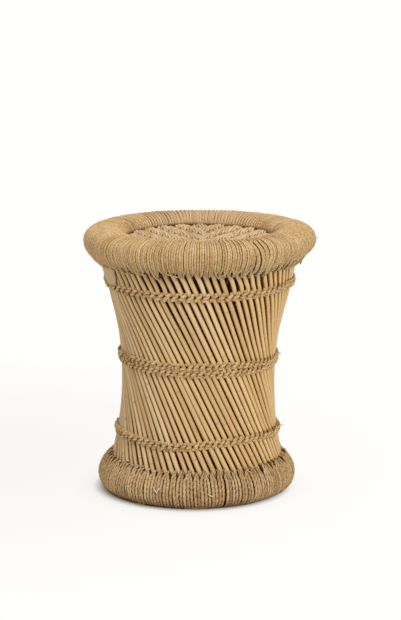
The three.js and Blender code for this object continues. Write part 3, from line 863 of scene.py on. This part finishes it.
def fibres(name, roots, outward, along, slot, seed, longest, thickness):
    """Hairs that stand off the cord: each leaves its root at a slant and curls."""
    rng = np.random.default_rng(seed)
    count, steps, sides = len(roots), 6, 3
    t = np.linspace(0, 1, steps)[None, :, None]
    length = longest * rng.beta(1.6, 3.5, (count, 1, 1))
    scatter = rng.normal(0, 1, (count, 3))
    lie = along * rng.normal(0, 1, (count, 1))
    start = unit(outward * rng.uniform(0.15, 0.9, (count, 1)) + lie + 0.35 * scatter)[:, None]
    curl = unit(rng.normal(0, 1, (count, 3)) + 0.3 * outward)[:, None]
    bend = rng.uniform(0.2, 0.8, (count, 1, 1))
    centres = roots[:, None] + length * (start * t + curl * bend * t ** 2)
    centres[..., 2] = np.maximum(centres[..., 2], thickness)
    half = thickness / 2 * rng.uniform(0.7, 1.3, (count, 1)) * (1 - 0.6 * t[..., 0])
    values = {
        "tone": np.broadcast_to(rng.uniform(0.2, 1, (count, 1, 1)), (count, steps, sides)),
        "along": spread(travel(centres), sides),
        "around": np.zeros((count, steps, sides)),
    }
    tubes = sweep(centres, np.array([0.31, 0.67, 0.67]), round_section(sides, half, half))
    add_piece(name, [(*tubes, values)], LOOSE_JUTE)


def cord_fibres(name, cord, count, slot, seed, thickness):
    """Hairs all over a cord, given as places on it, the way out of them and the way along."""
    chosen = np.random.default_rng(seed).integers(0, len(cord[0]), count)
    fibres(name, *(values[chosen] for values in cord), slot, seed, 12 * MM, thickness)


def tufts(name, slot, seed, longest, spots):
    """Bunches of fibres: (degrees from the front, radius and height in mm, lean out, lean up, how many)."""
    rng = np.random.default_rng(seed)
    roots, ways = [], []
    for front, radius, height, out, rise, count in spots:
        angle = FRONT + front * DEGREE
        roots.append((polar(radius, angle, height) + rng.normal(0, 1, (count, 3))) * MM)
        ways.append(np.broadcast_to(unit(polar(out, angle, rise)), (count, 3)) * 2.2)
    roots, ways = np.concatenate(roots), np.concatenate(ways)
    fibres(name, roots, ways, ways * 0.05, slot, seed, longest, 0.45 * MM)


def loose_strand(name, material, half, corners):
    """A strand with soft bends, through (degrees from the front, radius and height in mm)."""
    corners = np.array(corners) * np.array([DEGREE, MM, MM])
    at = np.linspace(0, 1, 12 * len(corners))
    even = np.linspace(0, 1, len(corners))
    front, r, z = (np.interp(at, even, values) for values in corners.T)
    line = polar(r, FRONT + front, z)
    for _ in range(12):
        line[1:-1] = (line[:-2] + 2 * line[1:-1] + line[2:]) / 4
    outward = polar(1.0, FRONT + front, 0.4)[None]
    size = half * (1 - 0.5 * (2 * at - 1) ** 8)
    part = laid_cord(line[None], outward, size, size, 0.3, 10 * MM, 0.5, 8)
    add_piece(name, [part], material)


# Seat

SEAT_RADIUS = 128 * MM
SEAT_EDGE = 444.2 * MM
SEAT_DISH = 5 * MM
SEAT_SPACING = 10.4 * MM
SEAT_CROSS = 14 * MM
SEAT_CORNER = 100 * DEGREE
SEAT_PAIR = 2.6 * MM  # half the distance between the two cords of a pair
CROSS_PAIR = 3.4 * MM


def seat_rim(angle):
    """The seat's edge: a circle pulled towards a pentagon."""
    fifth = TURN / 5
    off = (angle - SEAT_CORNER + fifth / 2) % fifth - fifth / 2
    return SEAT_RADIUS * (math.cos(fifth / 2) / np.cos(fifth / 2 - np.abs(off))) ** 0.12


def seat_surface(x, y):
    """The panel's middle height: dished, and turned down under the border."""
    share = np.hypot(x, y) / SEAT_RADIUS
    return SEAT_EDGE - SEAT_DISH * (1 - onset(share, 0.15, 0.85)) - 1.6 * MM * onset(share, 0.93, 0.07)


def seat_chord(offset):
    """Points from edge to edge of the panel, this far from its middle."""
    reach = math.sqrt(SEAT_RADIUS ** 2 - offset ** 2)
    return np.linspace(-reach, reach, int(reach / MM))[None]


def seat_cord(x, y, rise, half, tone):
    """A cord that rises over the panel's middle height."""
    centre = np.stack([x, y, seat_surface(x, y) + rise], axis=-1)
    return laid_cord(centre, UP, half, 0.85 * half, 0.3, 14 * MM, tone, 8)


def lengthwise_cords(seed):
    """Pairs of cords from front to back, over three and under one, each a step on from its neighbour."""
    rng = np.random.default_rng(seed)
    parts = []
    for i in range(-11, 12):
        shift = 0.12 * rng.normal()
        for side in (-1, 1):
            start = i * SEAT_SPACING + side * SEAT_PAIR
            y = seat_chord(start)
            p = (y / SEAT_CROSS - abs(i) + 0.5 + shift + 0.04 * rng.normal()) % 4
            slant = 8 * MM * (1 if i > 0 else -1) * np.where(p < 3, p / 3 - 0.5, 3.5 - p)
            x = start + slant + 0.4 * MM * waves(rng, y.shape, y / (2 * SEAT_RADIUS), 5)
            x = np.clip(x, -0.99 * SEAT_RADIUS, 0.99 * SEAT_RADIUS)
            over = 1.5 * MM * np.sin(math.pi * np.clip(p / 3, 0, 1)) ** 0.7
            rise = over - 2.8 * MM * bell(p, 3.5, 0.36) + rng.normal(0, 0.2 * MM)
            tone = np.clip(0.5 + rng.normal(0, 0.1) + 0.12 * waves(rng, y.shape, y / SEAT_RADIUS, 4), 0, 1)
            parts.append(seat_cord(x, y, rise, 2.7 * MM, tone))
    add_piece("seat_lengthwise_cords", parts, SEAT_JUTE, ["seat_weave"])


def crosswise_cords(seed):
    """Cords from side to side, which rise a little where a lengthwise pair goes under."""
    rng = np.random.default_rng(seed)
    parts = []
    for j in range(-9, 10):
        for side in (-1, 1):
            middle = j * SEAT_CROSS + side * CROSS_PAIR
            if abs(middle) > SEAT_RADIUS:
                continue
            x = seat_chord(middle)
            q = (j - np.abs(x) / SEAT_SPACING + 0.5) % 4
            rise = 2.2 * MM * bell(q, 3.5, 0.5) - 3.0 * MM
            y = middle + 0.4 * MM * waves(rng, x.shape, x / (2 * SEAT_RADIUS), 5)
            tone = np.clip(0.5 + rng.normal(0, 0.12) + 0.12 * waves(rng, x.shape, x / SEAT_RADIUS, 4), 0, 1)
            parts.append(seat_cord(x, y, rise, 3.0 * MM, tone))
    add_piece("seat_crosswise_cords", parts, CROSS_JUTE, ["seat_weave"])


def border_rope(seed):
    """Two plies laid round the edge of the seat, against the wrap, coloured dark as painted shade."""
    rng = np.random.default_rng(seed)
    angle = np.arange(1200)[None] / 1200 * TURN
    r = seat_rim(angle) - 1.2 * MM + 0.5 * MM * waves(rng, angle.shape, angle / TURN, 9)
    z = SEAT_EDGE + 2.2 * MM + 0.8 * MM * waves(rng, angle.shape, angle / TURN, 12)
    tone = np.clip(0.5 + 0.15 * waves(rng, angle.shape, angle / TURN, 40), 0, 1)
    half = 2.5 * MM
    part = laid_cord(polar(r, angle, z), UP, half, half, 0.42, 15 * MM, tone, 12, True)
    add_piece("seat_border_rope", [part], BORDER_JUTE_SHADED, ["seat_edge_cord"])


# Building

reeds(
    "outer_reed_group", "outer_reeds", OUTER, 8.45 * MM, 8.2 * MM, OUTER_STRAW, 11, 0.6 * MM,
    kinked=((-66, 2.6 * MM), (-58, -2.0 * MM), (-118, 1.4 * MM)),
)
reeds(
    "inner_reed_group", "inner_reeds", INNER, 10.2 * MM, 7.6 * MM, INNER_STRAW_SHADED, 12, 0.3 * MM
)
flat_splint()

top_cord = wrap(
    "top_ring_wrap", TOP_RING, "top_ring_cord", TOP_JUTE, 6, 21,
    turns=292, meets=TOP_MEETS, base_turn=0.0,
    wide=4.45 * MM, deep=3.7 * MM, drawn_wide=2.8 * MM, inset=0.8 * MM, lay=13 * MM,
    fan=21 * MM, squeeze=1.2 * MM, rows=3.2 * MM, uneven=0.75,
    seams=(
        (-57.6, -60.6, 0.05, 0.46, 2.4 * MM),
        (23.5, 22.5, 0.44, 0.66, 5.5 * MM),
        (167, 166, 0.46, 0.68, 4.6 * MM),
        (160.5, 159.5, 0.46, 0.67, 5.0 * MM),
        (152, 151, 0.47, 0.65, 4.2 * MM),
    ),
)
base_cord = wrap(
    "base_ring_wrap", BASE_RING, "base_ring_cord", BASE_JUTE, 4, 22,
    turns=178, meets=BASE_MEETS, base_turn=TWIST % (TURN / REEDS),
    wide=5.5 * MM, deep=4.8 * MM, drawn_wide=3.6 * MM, inset=1.3 * MM, lay=17 * MM,
    fan=16 * MM, squeeze=1.3 * MM, rows=2.6 * MM, uneven=1.1,
    seams=((-73.5, -73.5, 0.08, 0.45, 2.2 * MM), (-55, -54, 0.05, 0.3, 2.0 * MM)),
)
core("top_grass_core", TOP_RING, "top_ring_core", 40, 5.2 * MM, 7.2 * MM, TOP_MEETS, 23)
core("base_grass_core", BASE_RING, "base_ring_core", 38, 5.2 * MM, 8.2 * MM, BASE_MEETS, 24)

upper_line = twined_row("upper_twined_row", OUTER, upper_height, 1, "upper_band", 31)
middle_line = twined_row(
    "middle_twined_row_above", OUTER, middle_upper_height, 1, "middle_band_upper_row", 32, THIN_STRAND
)
twined_row(
    "middle_twined_row_below", OUTER, middle_lower_height, 1, "middle_band_lower_row", 33, THIN_STRAND
)
lower_line = twined_row("lower_twined_row", OUTER, lower_height, 1, "lower_band", 34)
twined_row("upper_inner_row", INNER, upper_height, -1, "upper_band_back", 35)
twined_row("middle_inner_row", INNER, middle_upper_height, -1, "middle_band_back", 36)
twined_row("lower_inner_row", INNER, lower_height, -1, "lower_band_back", 37)
knots("band_knots", (
    (-84, 244, 8), (-79, 234, 6), (86, 236, 6.5), (-76, 371, 6),
    (82, 371, 6), (-70, 106, 5.5), (84, 110, 7),
), 38)

lengthwise_cords(41)
crosswise_cords(42)
border_rope(51)

cord_fibres("top_ring_fibres", top_cord, 1100, "wrap_cord", 61, 0.3 * MM)
cord_fibres("base_ring_fibres", base_cord, 900, "wrap_cord", 62, 0.3 * MM)
cord_fibres("upper_band_fibres", upper_line, 420, "band_cord", 63, 0.32 * MM)
cord_fibres("middle_band_fibres", middle_line, 420, "band_cord", 64, 0.32 * MM)
cord_fibres("lower_band_fibres", lower_line, 420, "band_cord", 65, 0.32 * MM)
tufts("wrap_tufts", "wrap_cord", 71, 16 * MM, (
    (88, 201, 441, 1.0, 0.3, 7), (80, 176, 409, 0.5, -1.0, 9), (-78, 160, 54, 0.8, 0.8, 8),
    (-34, 168, 8, 1.0, 0.2, 16), (-28, 172, 30, 0.6, 0.7, 3),
))
tufts("band_tufts", "band_cord", 72, 15 * MM, (
    (86, 140, 238, 0.9, 0.5, 10), (-86, 140, 246, 0.9, 0.3, 6),
    (85, 165, 372, 0.9, -0.1, 5), (84, 146, 112, 0.9, 0.2, 6),
))
for name, material, half, corners in (
    ("foot_strand", BASE_JUTE, 2.0 * MM,
     ((-9, 153, 4.5), (-5, 157.5, 2.6), (0, 158, 2.4), (5, 157, 2.6), (8, 153, 4.5))),
    ("pale_curl_1", PALE_JUTE, 1.2 * MM,
     ((-25, 171.5, 40), (-24, 175.5, 36), (-22.5, 176, 31), (-23, 173, 26))),
    ("pale_curl_2", PALE_JUTE, 1.2 * MM, ((-21, 172, 39), (-22, 175.5, 35), (-22.5, 176, 31))),
    ("pale_curl_3", PALE_JUTE, 1.0 * MM, ((6.5, 172.5, 31), (8, 175, 28), (9.5, 173.5, 27.5))),
    ("dark_end", GREEN_JUTE, 1.3 * MM,
     ((84, 179, 411), (84.5, 176.5, 404), (85.5, 176, 399), (85, 174.5, 395))),
    ("green_knot", GREEN_JUTE, 1.2 * MM,
     ((-35, 163, 7), (-32.5, 170, 12), (-31, 168, 6), (-33.5, 171, 4), (-34.5, 170, 11),
      (-31.5, 171, 9), (-33, 168, 3), (-35, 168, 10))),
    ("fan_strand_1", TOP_JUTE, 1.2 * MM,
     ((-19, 185, 413), (-16, 184, 408), (-12, 178, 404), (-9.5, 172, 402.5))),
    ("fan_strand_2", TOP_JUTE, 1.3 * MM, ((-38, 185, 413), (-35, 183, 407), (-30, 177, 403.5))),
    ("fan_strand_3", TOP_JUTE, 1.1 * MM, ((14, 184, 412), (12, 180, 405), (9, 174, 402))),
):
    loose_strand(name, material, half, corners)


# Stage, light and camera

WHITE = (1, 1, 1, 1)
WARM_WHITE = (1, 0.99, 0.96, 1)
FLOOR = (0.8, 0.8, 0.8, 1)
FLOOR_PAINTED_SHADOW = (0.4, 0.31, 0.23, 1)  # painted shadow: brown and dark, the floor's colour under the base's edge


def stage_plane():
    """A pale floor, which the camera sees fade to white away from the stool, with painted shadow round the
    base and a painted soft shadow to the stool's left.
    """
    mesh = bpy.data.meshes.new("floor")
    half = 9.0
    corners = [(-half, -half, 0), (half, -half, 0), (half, 3 * half, 0), (-half, 3 * half, 0)]
    mesh.from_pydata(corners, [], [(0, 1, 2, 3)])
    floor = bpy.data.objects.new("floor", mesh)
    bpy.context.scene.collection.objects.link(floor)
    s = Shader(bpy.data.materials.new("pale_floor"))
    apart = s.near((LEAN - 7 * MM, 0, 0))
    # Painted shadow: the floor's colour turns brown and dark round the base, reaching further on its left.
    ground_with_painted_shadow = s.mix(s.fit(apart, 0.16, 0.2, 0.0, 1.0), FLOOR_PAINTED_SHADOW, FLOOR)
    diffuse = s.node("BsdfDiffuse", Color=ground_with_painted_shadow)
    # Painted shadow: the glow that the camera sees is dimmer to the left of the stool and behind it.
    pale = s.fit(s.near((-0.5, 0.2, 0)), 0.1, 1.0, 0.925, 1.02)
    glow = s.node("Emission", Color=WARM_WHITE, Strength=pale)
    far = s.math("ADD", s.fit(apart, 0.152, 0.176, 0.0, 0.9), s.fit(apart, 0.176, 0.22, 0.0, 0.1))
    path = s.tree.nodes.new("ShaderNodeLightPath")
    seen = s.math("ADD", path.outputs["Is Camera Ray"], path.outputs["Is Glossy Ray"])
    share = s.math("MULTIPLY", far, seen)
    mesh.materials.append(s.close(s.node("MixShader", _0=share, _1=diffuse, _2=glow)))


def area_light(name, place, aim, size, power):
    data = bpy.data.lights.new(name, "AREA")
    data.shape = "DISK"
    data.size = size
    data.energy = power
    light = bpy.data.objects.new(name, data)
    light.location = place
    light.rotation_euler = (Vector(aim) - Vector(place)).to_track_quat("-Z", "Y").to_euler()
    bpy.context.scene.collection.objects.link(light)


def world():
    """A soft even light, which the camera sees as white."""
    s = Shader(bpy.data.worlds.new("studio"))
    light = s.node("Background", Color=WHITE, Strength=0.41)
    backdrop = s.node("Background", Color=WHITE, Strength=1.0)
    seen = s.node("LightPath", "Is Camera Ray")
    mixed = s.node("MixShader", _0=seen, _1=light, _2=backdrop)
    bpy.context.scene.world = s.close(mixed, "OutputWorld")


def camera():
    data = bpy.data.cameras.new("camera")
    data.sensor_width = 36
    data.lens = 127.0
    made = bpy.data.objects.new("camera", data)
    made.location = (0.00125, -3.735, 1.0518)
    made.rotation_euler = (78.83 * DEGREE, 0, 0)
    bpy.context.scene.collection.objects.link(made)
    bpy.context.scene.camera = made


stage_plane()
world()
area_light("key", (1.4, -2.6, 2.2), (0, 0, 0.25), 1.6, 67)
area_light("fill", (-2.4, -2.0, 1.6), (0, 0, 0.2), 2.2, 19)
area_light("top", (0.0, 0.6, 3.0), (0, 0, 0.3), 2.0, 28)
camera()
bpy.context.scene.view_settings.view_transform = "Standard"
